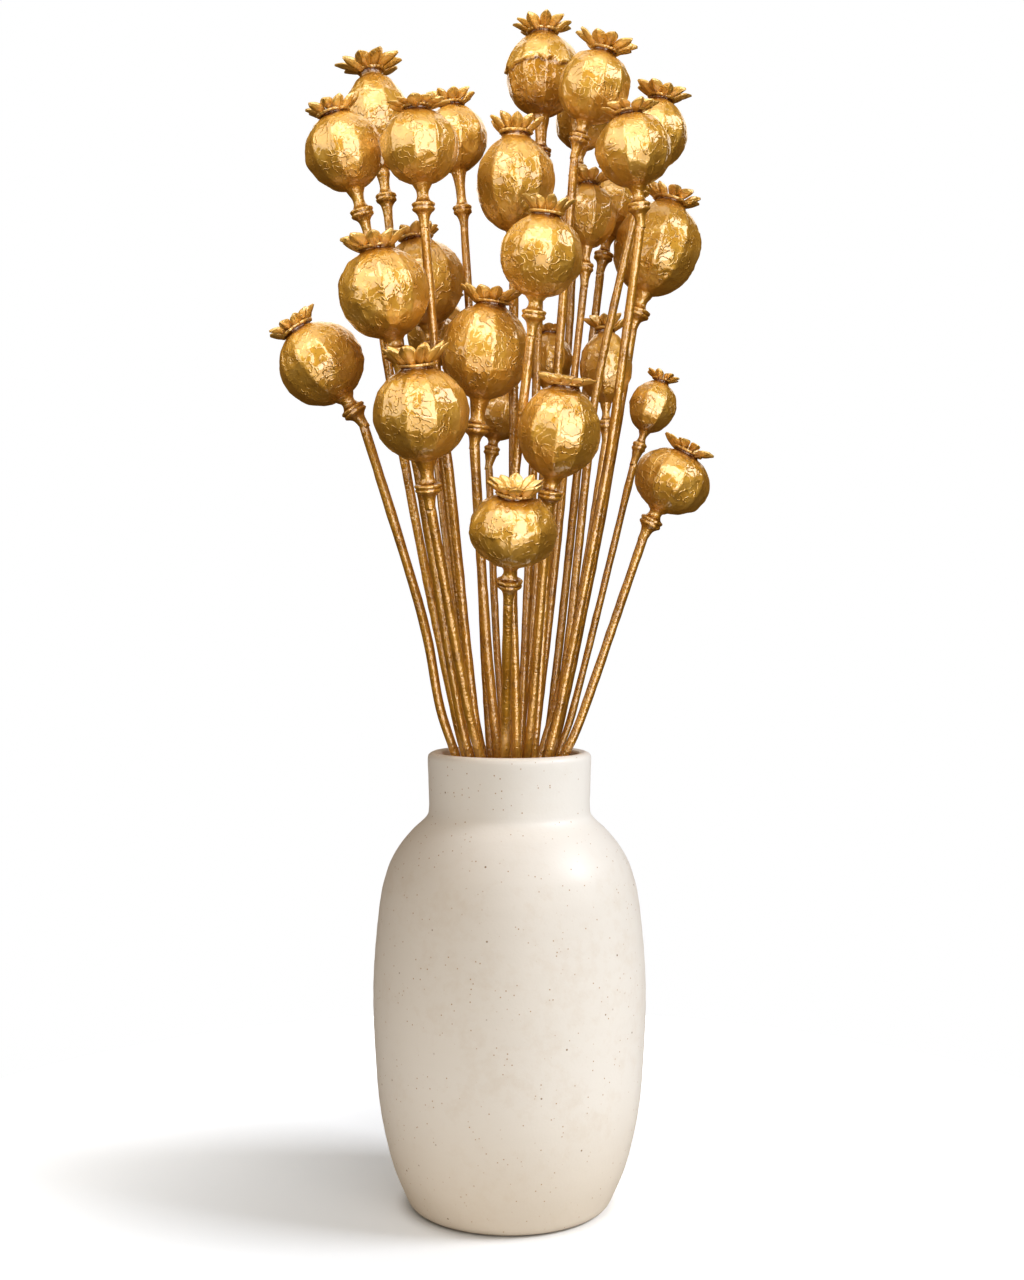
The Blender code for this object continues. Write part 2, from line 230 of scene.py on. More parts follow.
def gold_paint():
    material = bpy.data.materials.new("Gold_spray_paint_on_dried_pod")
    material.use_nodes = True
    tree = material.node_tree
    place = add(tree, "ShaderNodeTexCoord").outputs["Object"]
    painted_shade_and_highlight = add(tree, "ShaderNodeAttribute", {"attribute_name": "painted_shade_and_highlight"}).outputs["Fac"]
    skin = add(tree, "ShaderNodeAttribute", {"attribute_name": "skin"}).outputs["Fac"]
    patch, crease = paint_creases(tree, place)
    drift = add(tree, "ShaderNodeMapRange", None, {
        "Value": patch, "From Min": 0.35, "From Max": 0.7, "To Min": DRIFT_FROM,
        "To Max": DRIFT_TO})
    # depth is the painted shade and highlight of the attribute, with the random drift added.
    depth = add(tree, "ShaderNodeMath", {"operation": "ADD"}, {0: painted_shade_and_highlight, 1: drift})
    flake = add(tree, "ShaderNodeMapRange", None, {
        "Value": depth, "To Min": ROUGH_ON_SKIN, "To Max": ROUGH_IN_RECESS})
    polish = add(tree, "ShaderNodeMapRange", None, {
        "Value": crease, "To Min": ROUGHER_ON_SKIN, "To Max": SMOOTHER_ON_CREASE})
    roughness = add(tree, "ShaderNodeMath", {"operation": "ADD"}, {0: flake, 1: polish})
    normal = paint_relief(tree, place, crease, skin)
    shader = tree.nodes["Principled BSDF"]
    tree.links.new(paint_colour(tree, place, patch, depth), shader.inputs["Base Color"])
    tree.links.new(roughness.outputs["Value"], shader.inputs["Roughness"])
    tree.links.new(normal, shader.inputs["Normal"])
    tree.links.new(normal, shader.inputs["Coat Normal"])
    for key, value in COAT.items():
        shader.inputs[key].default_value = value
    return material


gold = gold_paint()
print("material:", gold.name, "nodes:", len(gold.node_tree.nodes))

# %% [markdown]
# ## Stoneware: specks in the clay
#
# The clay is thrown, dipped in a cream matt glaze and fired. Iron in the clay bleeds through as
# brown specks: many fine pale ones and a few larger. A Voronoi cell holds one speck at most, and
# its random colour picks which cells have one, so that the specks don't lie on a grid.

# %% Specks
FINE_SPECKS = {"spacing": 2.2, "size": 0.55, "share": 0.4}
LARGE_SPECKS = {"spacing": 9.0, "size": 0.8, "share": 0.6}


def specks(tree, place, spacing, size, share):
    """Dots of a size in mm, in a share of the cells of a spacing in mm."""
    cell = add(tree, "ShaderNodeTexVoronoi", None, {
        "Vector": place, "Scale": 1 / (spacing * MM), "Randomness": 1.0})
    dot = add(tree, "ShaderNodeMapRange", None, {
        "Value": cell.outputs["Distance"], "From Min": 0.7 * size / spacing,
        "From Max": 0.3 * size / spacing})
    pick = add(tree, "ShaderNodeMapRange", None, {
        "Value": cell.outputs["Color"], "From Min": 1.0 - share, "From Max": 1.1 - share})
    return add(tree, "ShaderNodeMath", {"operation": "MULTIPLY"}, {
        0: dot.outputs["Result"], 1: pick.outputs["Result"]})


print("specks mm:", FINE_SPECKS["size"], "and", LARGE_SPECKS["size"])

# %% [markdown]
# ## Stoneware: the glaze
#
# The cream glaze is softly clouded. Its colour is paler on the shoulder and neck, as painted
# light, and warmer and darker towards the foot, as painted shade. Each layer is mixed over the
# last, from the plain glaze up to the largest specks.

# %% Glaze
CLOUD_MM, MOTTLE_MM, GRAIN_MM = 30.0, 5.0, 1.2
WAVE_DEEP_MM, GRAIN_DEEP_MM = 0.25, 0.07
ROUGH_LEAST, ROUGH_MOST = 0.4, 0.5
GLAZE_STOPS = [(0.7, "#E4DACC"), (1.0, "#E8E0D4")]
# Heights of the painted shade at the foot and the painted light on the shoulder and neck.
SHADE_BELOW_MM, FOOT_SHADE_SHARE = 70.0, 0.55
LIGHT_FROM_MM, LIGHT_TO_MM, NECK_LIGHT_SHARE = 140.0, 175.0, 0.7
# Colours of the painted shade, the painted light, the fine specks and the large specks.
GLAZE_SHADE_LIGHT_AND_SPECKS = ["#D2C0A6", "#F4EEE4", "#BC9A70", "#94734C"]


def glaze_colour(tree, place, cloud, mottle):
    """Cream glaze, painted shade towards the foot, painted light towards the neck, and specks."""
    both = add(tree, "ShaderNodeMath", {"operation": "ADD"}, {0: cloud, 1: mottle})
    base = add(tree, "ShaderNodeValToRGB", None, {"Fac": both})
    set_stops(base.color_ramp, GLAZE_STOPS)
    height = add(tree, "ShaderNodeSeparateXYZ", None, {0: place}).outputs["Z"]
    # Painted shade: warmer and darker towards the foot.
    foot_shade = add(tree, "ShaderNodeMapRange", {"interpolation_type": "SMOOTHSTEP"}, {
        "Value": height, "From Min": 0.0, "From Max": SHADE_BELOW_MM * MM, "To Min": FOOT_SHADE_SHARE,
        "To Max": 0.0})
    # Painted light: paler on the shoulder and neck.
    thick = add(tree, "ShaderNodeMapRange", {"interpolation_type": "SMOOTHSTEP"}, {
        "Value": height, "From Min": LIGHT_FROM_MM * MM, "From Max": LIGHT_TO_MM * MM,
        "To Max": NECK_LIGHT_SHARE})
    amounts = [foot_shade, thick, specks(tree, place, **FINE_SPECKS), specks(tree, place, **LARGE_SPECKS)]
    colour = base.outputs["Color"]
    for amount, layer in zip(amounts, GLAZE_SHADE_LIGHT_AND_SPECKS):
        colour = add(tree, "ShaderNodeMix", {"data_type": "RGBA"}, {
            0: amount, 6: colour, 7: linear(layer)}).outputs[2]
    return colour


def stoneware():
    material = bpy.data.materials.new("Cream_speckled_stoneware_glaze")
    material.use_nodes = True
    tree = material.node_tree
    place = add(tree, "ShaderNodeTexCoord").outputs["Object"]
    cloud = add(tree, "ShaderNodeTexNoise", None, {
        "Vector": place, "Scale": 1 / (CLOUD_MM * MM), "Detail": 5.0, "Roughness": 0.62})
    mottle = add(tree, "ShaderNodeTexNoise", None, {
        "Vector": place, "Scale": 1 / (MOTTLE_MM * MM), "Detail": 4.0, "Roughness": 0.65})
    grain = add(tree, "ShaderNodeTexNoise", None, {
        "Vector": place, "Scale": 1 / (GRAIN_MM * MM), "Detail": 3.0, "Roughness": 0.6})
    matt = add(tree, "ShaderNodeMapRange", None, {
        "Value": mottle.outputs["Fac"], "From Min": 0.3, "From Max": 0.7,
        "To Min": ROUGH_LEAST, "To Max": ROUGH_MOST})
    wave = add(tree, "ShaderNodeBump", None, {
        "Height": mottle.outputs["Fac"], "Strength": 0.35, "Distance": WAVE_DEEP_MM * MM})
    bump = add(tree, "ShaderNodeBump", None, {
        "Height": grain.outputs["Fac"], "Strength": 0.5, "Distance": GRAIN_DEEP_MM * MM,
        "Normal": wave})
    colour = glaze_colour(tree, place, cloud.outputs["Fac"], mottle.outputs["Fac"])
    shader = tree.nodes["Principled BSDF"]
    tree.links.new(colour, shader.inputs["Base Color"])
    tree.links.new(matt.outputs["Result"], shader.inputs["Roughness"])
    tree.links.new(bump.outputs["Normal"], shader.inputs["Normal"])
    shader.inputs["IOR"].default_value = 1.5
    return material


glaze = stoneware()
print("material:", glaze.name, "nodes:", len(glaze.node_tree.nodes))

# %% [markdown]
# ## Reading the solids
#
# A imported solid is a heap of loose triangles. Merged on a copy, its vertices still lie in the
# rings that made them: six to a ring up the stem, and two to a lobe on the head. Walking up from
# the foot gives the stem's path, and sorting the rest by height along the head's axis gives the
# capsule's outline and each lobe's tip, so nothing here repeats a number that the solids hold.

# %% Rings of a solid
STEM_SIDES = 6
LEAST_LOBES = 8


def merged(node):
    """Vertex places and edge neighbours of a CAD node, merged on a copy."""
    shape = bmesh.new()
    shape.from_mesh(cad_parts[node].data)
    bmesh.ops.remove_doubles(shape, verts=shape.verts, dist=0.002 * MM)
    shape.verts.ensure_lookup_table()
    places = np.array([v.co for v in shape.verts])
    near = [[e.other_vert(v).index for e in v.link_edges] for v in shape.verts]
    shape.free()
    return places, near


def stem_rings(places, near):
    """Rings of six vertices up the stem, from the foot."""
    rings, seen = [np.argsort(places[:, 2])[:STEM_SIDES]], set()
    while True:
        seen.update(rings[-1])
        ring = sorted({j for i in rings[-1] for j in near[i]} - seen)
        if len(ring) != STEM_SIDES:
            return rings
        rings.append(ring)


def head_rings(along, out):
    """The capsule's five rings from the lowest, then the waist's, under the crown.

    A ring's vertices share one height along the head's axis, and the widest is the third.
    """
    order = np.argsort(along)
    cuts = np.flatnonzero(np.diff(along[order]) > 0.02 * MM) + 1
    groups = [group for group in np.split(order, cuts) if len(group) >= 2 * LEAST_LOBES]
    widest = int(np.argmax([out[group].mean() for group in groups]))
    return groups[widest - 2:widest + 4]


vase_places, vase_near = merged("Vase")
print("vase vertices once merged:", len(vase_places))

# %% [markdown]
# ## Measuring a poppy
#
# The solids draw a capsule's belly as a power of a sine, from the neck to the waist. Its five
# rings sit at fixed shares of that height, so two straight-line fits give back the height, the
# radius and the power. The stem's last six rings are the collar and the bare neck. The head's
# own frame stands on the collar's middle, with Z along the axis and X through a rib.

# %% Poppies measured
CAPSULE_SHARES = np.array([0.10, 0.30, 0.56, 0.80, 0.94])
HEAD_STEM_RINGS = 6
NECK_FLARE = 1.1
LIP_OVER_WAIST = 1.0 * MM
CROWN_OVER_WAIST, CROWN_OUT_OF_WAIST = 0.3 * MM, 0.85
TIP_WITHIN = 0.2


def lobe_tips(along, out, turn, lobes, waist, waist_high):
    """Each lobe's tip in the head's frame: its distance from the axis, angle and height."""
    crown = (along > waist_high + CROWN_OVER_WAIST) & (out > CROWN_OUT_OF_WAIST * waist)
    tips = []
    for k in range(lobes):
        near_rib = crown & (np.abs((turn - k + lobes / 2) % lobes - lobes / 2) < TIP_WITHIN)
        best = max(np.flatnonzero(near_rib), key=lambda i: along[i])
        tips.append((out[best], 2 * np.pi * k / lobes, along[best]))
    return tips


def measure(node):
    """One poppy's measures: the stem's path, the head's place, and its sizes."""
    places, near = merged(node)
    stem = stem_rings(places, near)
    path = np.array([places[ring].mean(axis=0) for ring in stem])
    radii = np.array([np.linalg.norm(places[ring] - middle, axis=1).mean()
                      for ring, middle in zip(stem, path)])
    collar = (path[-4] + path[-3]) / 2
    axis = (path[-1] - collar) / np.linalg.norm(path[-1] - collar)
    along = (places - collar) @ axis
    flat = (places - collar) - np.outer(along, axis)
    out = np.linalg.norm(flat, axis=1)
    *belly, top = head_rings(along, out)
    tall, neck = np.polyfit(CAPSULE_SHARES, [along[r].mean() for r in belly], 1)
    power, log_radius = np.polyfit(np.log(np.sin(np.pi * CAPSULE_SHARES)),
                                   np.log([out[r].mean() for r in belly]), 1)
    widest = belly[2]
    rib = flat[widest[np.argmax(out[widest])]]
    x = rib / np.linalg.norm(rib)
    y = np.cross(axis, x)
    lobes = len(widest) // 2
    turn = np.arctan2(flat @ y, flat @ x) / (2 * np.pi) * lobes
    waist, waist_high = out[top].mean(), along[top].mean()
    place = Matrix([[*row] for row in np.column_stack([x, y, axis])]).to_4x4()
    place.translation = Vector(collar)
    return {
        "path": path[:-HEAD_STEM_RINGS], "stem": radii[:-HEAD_STEM_RINGS].mean(),
        "place": place, "collar": radii[-4], "bare": radii[-2] / NECK_FLARE, "neck": neck, "tall": tall,
        "radius": math.exp(log_radius), "power": power, "lobes": lobes, "waist": waist,
        "long": waist_high + LIP_OVER_WAIST,
        "tips": lobe_tips(along, out, turn, lobes, waist, waist_high),
    }


poppies = {name: measure(name) for name in names}
for name, p in poppies.items():
    print(name, "lobes", p["lobes"], "capsule mm", round(2 * p["radius"] / MM, 1), "x",
          round(p["tall"] / MM, 1), "tips mm", [round(t[0] / MM, 1) for t in p["tips"][:4]])

# %% [markdown]
# ## Meshes as plain arrays
#
# Each poppy is put together from a stem, a head and a crown. Keeping every mesh as arrays of
# places, faces and the attributes tone, its painted shade and highlight, and skin makes joining them
# one step. Two more helpers serve several pieces: one turns an outline about an axis and closes both
# ends, as a lathe and a throwing wheel do, and one puts points evenly along a smooth curve.

# %% Arrays to mesh and back
CURVE_STEPS = 24


def mesh_from(name, parts):
    """One smooth mesh from parts of (places, faces, painted shade and highlight, skin)."""
    places, faces, start = [], [], 0
    for part in parts:
        places.append(part[0])
        faces += [[i + start for i in face] for face in part[1]]
        start += len(part[0])
    mesh = bpy.data.meshes.new(name)
    mesh.from_pydata(np.concatenate(places).tolist(), [], faces)
    for key, slot in (("painted_shade_and_highlight", 2), ("skin", 3)):
        values = np.concatenate([np.broadcast_to(part[slot], len(part[0])) for part in parts])
        layer = mesh.attributes.new(key, "FLOAT", "POINT")
        layer.data.foreach_set("value", values.astype(np.float32))
    mesh.shade_smooth()
    mesh.update()
    return mesh


def arrays_from(mesh):
    """The parts of mesh_from, back from a mesh."""
    places = np.empty(len(mesh.vertices) * 3)
    mesh.vertices.foreach_get("co", places)
    values = []
    for key in ("painted_shade_and_highlight", "skin"):
        layer = np.zeros(len(mesh.vertices))
        if key in mesh.attributes:
            mesh.attributes[key].data.foreach_get("value", layer)
        values.append(layer)
    return places.reshape(-1, 3), [list(f.vertices) for f in mesh.polygons], *values


def turned(radius, height, theta):
    """Places and faces of rings about Z, closed at both ends, outward where they run up.

    The radius has a row for each height and a column for each angle. The last two places are the
    middles of the first ring and of the last.
    """
    rows, columns = radius.shape
    places = np.stack([radius * np.cos(theta), radius * np.sin(theta),
                       np.broadcast_to(height[:, None], radius.shape)], axis=-1).reshape(-1, 3)
    places = np.vstack([places, [0, 0, height[0]], [0, 0, height[-1]]])
    first, last = rows * columns, rows * columns + 1
    faces = []
    for j in range(columns):
        k = (j + 1) % columns
        for low in range(0, (rows - 1) * columns, columns):
            faces.append([low + j, low + k, low + columns + k, low + columns + j])
        end = (rows - 1) * columns
        faces += [[k, j, first], [end + j, end + k, last]]
    return places, faces


def even_path(points, spacing):
    """Points evenly along a smooth curve that passes through the given ones."""
    p = np.asarray(points, float)
    p = np.vstack([2 * p[0] - p[1], p, 2 * p[-1] - p[-2]])
    dense = []
    for a, b, c, d in zip(p, p[1:], p[2:], p[3:]):
        steps = np.linspace(0, 1, CURVE_STEPS, endpoint=False)[:, None]
        dense.append(0.5 * (2 * b + (c - a) * steps + (2 * a - 5 * b + 4 * c - d) * steps ** 2
                            + (3 * b - a - 3 * c + d) * steps ** 3))
    dense = np.vstack(dense + [p[-2:-1]])
    run = np.concatenate([[0], np.cumsum(np.linalg.norm(np.diff(dense, axis=0), axis=1))])
    count = max(2, int(round(run[-1] / spacing)) + 1)
    at = np.linspace(0, run[-1], count)
    return np.column_stack([np.interp(at, run, column) for column in dense.T])


print("points along a quarter of a metre:", len(even_path([(0, 0, 0), (0.25, 0, 0)], 4.0 * MM)))

# %% [markdown]
# ## Running a node tree
#
# A Geometry Nodes tree keeps a rule apart from the shape it works on, so one tree serves every
# poppy. The mesh goes in, the inputs are set by their identifiers, and the evaluated result is
# kept as a plain mesh with no modifier on it.


# %% Node tree helpers
def new_tree(name, inputs):
    """A Geometry Nodes tree with a Geometry input, the named inputs and a Geometry output."""
    tree = bpy.data.node_groups.new(name, "GeometryNodeTree")
    tree.interface.new_socket("Geometry", in_out="INPUT", socket_type="NodeSocketGeometry")
    tree.interface.new_socket("Geometry", in_out="OUTPUT", socket_type="NodeSocketGeometry")
    for key, kind in inputs.items():
        tree.interface.new_socket(key, in_out="INPUT", socket_type="NodeSocket" + kind)
    return tree, tree.nodes.new("NodeGroupInput").outputs


def close_tree(tree, shape, material):
    """Realize Instances, Set Material and the output."""
    real = add(tree, "GeometryNodeRealizeInstances", None, {"Geometry": shape})
    smooth = add(tree, "GeometryNodeSetShadeSmooth", None, {"Geometry": real})
    done = add(tree, "GeometryNodeSetMaterial", None, {"Geometry": smooth, "Material": material})
    add(tree, "NodeGroupOutput", None, {"Geometry": done})
    print("tree:", tree.name, "nodes:", len(tree.nodes))


def run_tree(tree, mesh, values):
    """The mesh that a tree makes of a mesh."""
    thing = bpy.data.objects.new("work", mesh)
    bpy.context.scene.collection.objects.link(thing)
    modifier = thing.modifiers.new("tree", "NODES")
    modifier.node_group = tree
    for item in tree.interface.items_tree:
        if item.in_out == "INPUT" and item.name in values:
            modifier[item.identifier] = values[item.name]
    graph = bpy.context.evaluated_depsgraph_get()
    result = bpy.data.meshes.new_from_object(
        thing.evaluated_get(graph), preserve_all_data_layers=True, depsgraph=graph)
    bpy.data.objects.remove(thing)
    return result


# %% [markdown]
# ## Stems
#
# A poppy stem is a stiff, hollow straw, ribbed along its length by fibres that stand out as it
# dries. A swept curve follows the path exactly, and a noise that is stretched along the height
# raises the fibres. Curve to Mesh is the node for that: the path, a circle, and a radius.

# %% Stem tree
FIBRE_MM = 0.8
FIBRE_LENGTH_MM = 40.0
FIBRE_HIGH_MM = 0.07
STEM_STEP_MM = 4.0
STEM_COLUMNS = 16
STEM_END_MM = -7.0
# The stems carry painted shade, for where they cross and shade each other.
STEM_PAINTED_SHADE, STEM_SKIN = 0.4, 0.3


def stem_tree():
    tree, given = new_tree("Stem_with_fibres", {
        "Radius": "Float", "Sides": "Int", "Material": "Material"})
    line = add(tree, "GeometryNodeMeshToCurve", None, {"Mesh": given["Geometry"]})
    circle = add(tree, "GeometryNodeCurvePrimitiveCircle", None, {
        "Resolution": given["Sides"], "Radius": 1.0})
    tube = add(tree, "GeometryNodeCurveToMesh", None, {
        "Curve": line, "Profile Curve": circle, "Scale": given["Radius"], "Fill Caps": True})
    place = add(tree, "GeometryNodeInputPosition")
    squeezed = add(tree, "ShaderNodeVectorMath", {"operation": "MULTIPLY"}, {
        0: place, 1: (1.0, 1.0, FIBRE_MM / FIBRE_LENGTH_MM)})
    noise = add(tree, "ShaderNodeTexNoise", None, {
        "Vector": squeezed, "Scale": 1 / (FIBRE_MM * MM), "Detail": 1.0})
    high = add(tree, "ShaderNodeMapRange", {"clamp": False}, {
        "Value": noise.outputs["Fac"], "To Min": -FIBRE_HIGH_MM * MM,
        "To Max": FIBRE_HIGH_MM * MM})
    normal = add(tree, "GeometryNodeInputNormal")
    offset = add(tree, "ShaderNodeVectorMath", {"operation": "SCALE"}, {
        0: normal, "Scale": high.outputs["Result"]})
    raised = add(tree, "GeometryNodeSetPosition", None, {"Geometry": tube, "Offset": offset})
    close_tree(tree, raised, given["Material"])
    return tree


stem_rule = stem_tree()


def stem_part(p):
    """The stem as arrays, from its foot into the head's own taper."""
    tip = p["place"] @ Vector((0, 0, STEM_END_MM * MM))
    path = even_path(np.vstack([p["path"][:-1], tip]), STEM_STEP_MM * MM)
    line = bpy.data.meshes.new("stem_line")
    line.from_pydata(path.tolist(), [(i, i + 1) for i in range(len(path) - 1)], [])
    tube = run_tree(stem_rule, line, {
        "Radius": float(p["stem"]), "Sides": STEM_COLUMNS, "Material": gold})
    places, faces, _, _ = arrays_from(tube)
    return places, faces, STEM_PAINTED_SHADE, STEM_SKIN


print("stem triangles:", 2 * len(stem_part(poppies[names[0]])[1]))

# %% [markdown]
# ## The head's outline, from collar to lip
#
# One outline carries the whole head: the double-ringed collar where the petals grew, the bare
# neck, the belly, the shoulder, the narrow waist, and the lip under the crown. Each row says what
# measure its radius is a share of, so that small heads keep the same habit. With the radius run
# the tone and the skin. The tone is painted shade in the grooves drawn here and in the waist under
# the crown, and painted highlight on the lip.

# %% Head outline
OUTLINE_STEP = 0.75 * MM
BELLY_ROWS = 46
NECK_FROM_MM, NECK_LEAST_MM, NECK_STOP_MM = 4.6, 1.1, 0.5
NECK_SPREAD = 0.55
JOINT_MM, JOINT_BLUR_MM = 2.6, 1.3
LIP_TO_WAIST = 0.212 / 0.17
# Rows of (measure, share of it, mm above the collar's middle, painted shade).
COLLAR_ROWS = [
    ("stem", 0.97, -9.0, 0.15), ("stem", 1.02, -7.0, 0.15), ("stem", 1.15, -5.0, 0.2),
    ("stem", 1.4, -3.4, 0.3), ("collar", 0.74, -2.2, 0.5), ("collar", 0.92, -1.5, 0.25),
    ("collar", 0.96, -0.9, 0.2), ("collar", 0.90, -0.4, 0.6), ("collar", 0.87, -0.1, 0.8),
    ("collar", 0.95, 0.3, 0.3), ("collar", 1.0, 0.9, 0.15), ("collar", 0.93, 1.5, 0.3),
    ("collar", 0.72, 1.9, 0.8), ("bare", 1.3, 2.5, 0.5), ("bare", 1.08, 3.5, 0.2)]
# Rows of (measure, share of it, mm above the lip's middle, painted shade and highlight, skin, rib).
LIP_ROWS = [
    ("waist", 1.05, -1.8, 0.9, 0.5, 0.4), ("waist", 0.98, -1.2, 0.95, 0.5, 0.2),
    ("waist", 0.99, -0.75, 0.95, 0.5, 0.1), ("lip", 0.96, -0.55, PAINTED_HIGHLIGHT, 0.9, 0.0),
    ("lip", 1.02, -0.1, PAINTED_HIGHLIGHT, 0.9, 0.0), ("lip", 0.95, 0.4, 0.3, 0.2, 0.1),
    ("lip", 0.75, 0.35, 0.9, 0.5, 0.3), ("lip", 0.45, 0.6, 0.8, 0.5, 0.3),
    ("lip", 0.15, 0.8, 0.8, 0.5, 0.0)]


def neck_rows(p):
    """The bare neck, flaring into the belly."""
    start = min(NECK_FROM_MM * MM, p["neck"] - NECK_LEAST_MM * MM)
    end = p["neck"] - NECK_STOP_MM * MM
    for z in np.linspace(start, end, max(3, int((end - start) / MM))):
        share = (z - start) / (end - start)
        # The painted shade deepens towards the belly, which overhangs the neck.
        yield p["bare"] * (1.0 + NECK_SPREAD * share ** 2.5), z, 0.15 + 0.2 * share, 0.4, 0.0


def belly_rows(p):
    """The belly and shoulder, with painted shade at both ends, and ribs that fade in and out."""
    for share in np.concatenate([[0.012, 0.03], np.linspace(0.06, 0.955, BELLY_ROWS)]):
        radius = p["radius"] * math.sin(math.pi * share) ** p["power"]
        painted_shade_and_highlight = 0.35 * max(0.0, 1 - share / 0.16) + 0.85 * max(0.0, (share - 0.86) / 0.14)
        rib = min(1.0, share / 0.12, (0.995 - share) / 0.1)
        yield radius, p["neck"] + share * p["tall"], painted_shade_and_highlight, min(1.0, 0.5 + share * 3), rib


def blurred(values, run, width):
    """Values averaged over a width of the run, with the ends kept."""
    kernel = np.exp(-0.5 * ((run[:, None] - run[None, :]) / width) ** 2)
    return (kernel @ values) / kernel.sum(axis=1)


def head_outline(p):
    """Radius, height, tone, skin and rib at even steps up the head."""
    size = {**p, "lip": p["waist"] * LIP_TO_WAIST}
    rows = [(size[key] * share, z * MM, painted_shade_and_highlight, 0.35, 0.0) for key, share, z, painted_shade_and_highlight in COLLAR_ROWS]
    rows += [*neck_rows(p), *belly_rows(p)]
    rows += [(size[key] * share, p["long"] + z * MM, painted_shade_and_highlight, skin, rib)
             for key, share, z, painted_shade_and_highlight, skin, rib in LIP_ROWS]
    # Painted shade, skin and rib are made small, so that the steps follow the radius and height.
    fine = even_path(np.array(rows) * [1, 1, MM, MM, MM], OUTLINE_STEP)
    radius, height, *rest = fine.T
    run = np.concatenate([[0], np.cumsum(np.hypot(np.diff(radius), np.diff(height)))])
    joint = np.exp(-((height - p["neck"]) / (JOINT_MM * MM)) ** 2)
    radius = radius + joint * (blurred(radius, run, JOINT_BLUR_MM * MM) - radius)
    return radius, height, *(values / MM for values in rest)


print("rows up the first head:", len(head_outline(poppies[names[0]])[0]))

# %% [markdown]
# ## The head, turned and ribbed
#
# A capsule is a box of ten or so seed chambers, and each wall between two of them shows outside
# as a rib. The skin dries nearly flat from rib to rib, so the section is a rounded polygon, each
# head with its own flatness. The collar's rings and the lip are rows of small beads. One head's
# outer skin has torn off round the middle: its upper half stands proud, with a ragged edge and a
# painted shadow under it.

# %% Head
COLUMNS_PER_LOBE = 10
RIB_MM, LIP_BEAD_MM, COLLAR_BEAD_MM = 0.22, 0.25, 0.12
COLLAR_BEADS = 12
COLLAR_RINGS_MM = (-1.2, 0.9)
TORN_HEAD = "Poppy_06"
TORN_SHARE, TORN_OUT_MM = 0.52, 1.3


def ribbed(radius, rib, lobes, theta, rng):
    """Radii of an outline turned into nearly flat chambers between uneven ribs."""
    between = (theta / (2 * np.pi) * lobes + 0.5) % 1 - 0.5
    flatness = rng.uniform(0.5, 0.85)
    half = np.pi / lobes
    facet = np.cos(half) / np.cos(half - np.abs(between) * 2 * half) - (1 + np.cos(half)) / 2
    ridge = np.exp(-(between / 0.055) ** 2) * RIB_MM * MM
    nearest = np.round(theta / (2 * np.pi) * lobes).astype(int) % lobes
    uneven = rng.uniform(0.5, 1.2, lobes)[nearest]
    return radius * (1 + rib * flatness * facet) + rib * ridge * uneven


def beads(height, at, wide_mm, high_mm, wave):
    """A row of beads round the outline at a height, where wave is their rhythm."""
    return high_mm * MM * np.exp(-((height - at) / (wide_mm * MM)) ** 2) * wave


def torn_shell(p, height, theta):
    """How far the torn shell stands out, and the painted shadow under its ragged edge."""
    edge = p["neck"] + TORN_SHARE * p["tall"] + MM * (
        1.1 * np.sin(3 * theta + 1) + 0.8 * np.abs(np.sin(6.5 * theta)) + 0.5 * np.sin(17 * theta))
    over = (height - edge) / MM
    out = TORN_OUT_MM * MM * np.clip(over / 0.4, 0, 1) * np.exp(-np.clip(over, 0, 99) / 14)
    return out, np.where(over < 0.2, 0.35 + 0.6 * np.exp(np.clip(over, -20, 0) / 0.8), 0.0)


def head_part(p, seed, torn=False):
    """The head as arrays, in its own frame."""
    radius, height, painted_shade_and_highlight, skin, rib = (values[:, None] for values in head_outline(p))
    columns = COLUMNS_PER_LOBE * p["lobes"]
    theta = 2 * np.pi * np.arange(columns) / columns
    radius = ribbed(radius, rib, p["lobes"], theta, np.random.default_rng(seed))
    lip = p["long"] - 0.2 * MM
    radius += beads(height, lip, 0.4, LIP_BEAD_MM, np.cos(2 * p["lobes"] * theta))
    for ring in COLLAR_RINGS_MM:
        radius += beads(height, ring * MM, 0.5, COLLAR_BEAD_MM, np.cos(COLLAR_BEADS * theta + seed))
    # Painted shadow under the torn shell's edge, none on whole heads.
    painted_shadow = np.zeros_like(radius)
    if torn:
        out, painted_shadow = torn_shell(p, height, theta)
        radius = radius + out
    places, faces = turned(radius, height[:, 0], theta)
    painted_shade_and_highlight = np.clip(painted_shade_and_highlight + painted_shadow, PAINTED_HIGHLIGHT, 1).reshape(-1)
    skin = np.repeat(np.clip(skin, 0, 1), columns)
    return places, faces, np.append(painted_shade_and_highlight, [0.2, 0.8]), np.append(skin, [0, 0.3])


print("faces of the first head:", len(head_part(poppies[names[0]], 1)[1]))

# %% [markdown]
# ## A lobe of the crown
#
# The crown is the dried stigma: one leafy lobe over each seed chamber, boat-shaped, with a
# groove down its middle and a thick rounded edge. It is widest halfway and pointed. One lobe is
# modelled in three states of dryness, each a sheet over a sheet with a rim between.

# %% One lobe
LOBE_ROWS, LOBE_COLUMNS = 13, 9
LOBE_WIDTH = [(0.0, 0.50), (0.2, 0.68), (0.4, 0.92), (0.54, 1.0), (0.66, 0.95), (0.78, 0.76),
              (0.88, 0.50), (0.96, 0.24), (1.0, 0.06)]
LOBE_THICK, GROOVE_DEEP = 0.16, 0.07
LOBE_SKIN = 0.55


def lobe_faces(n, m):
    """Faces of two sheets of n by m points, back to back, and of the rim that joins them."""
    faces, half = [], n * m
    for i in range(n - 1):
        for j in range(m - 1):
            a, b, c, d = i * m + j, (i + 1) * m + j, (i + 1) * m + j + 1, i * m + j + 1
            faces += [[a, b, c, d], [a + half, d + half, c + half, b + half]]
    rim = ([i * m for i in range(n)] + [(n - 1) * m + j for j in range(1, m)]
           + [i * m + m - 1 for i in range(n - 2, -1, -1)] + [j for j in range(m - 2, 0, -1)])
    return faces + [[b, a, a + half, b + half] for a, b in zip(rim, rim[1:] + rim[:1])]


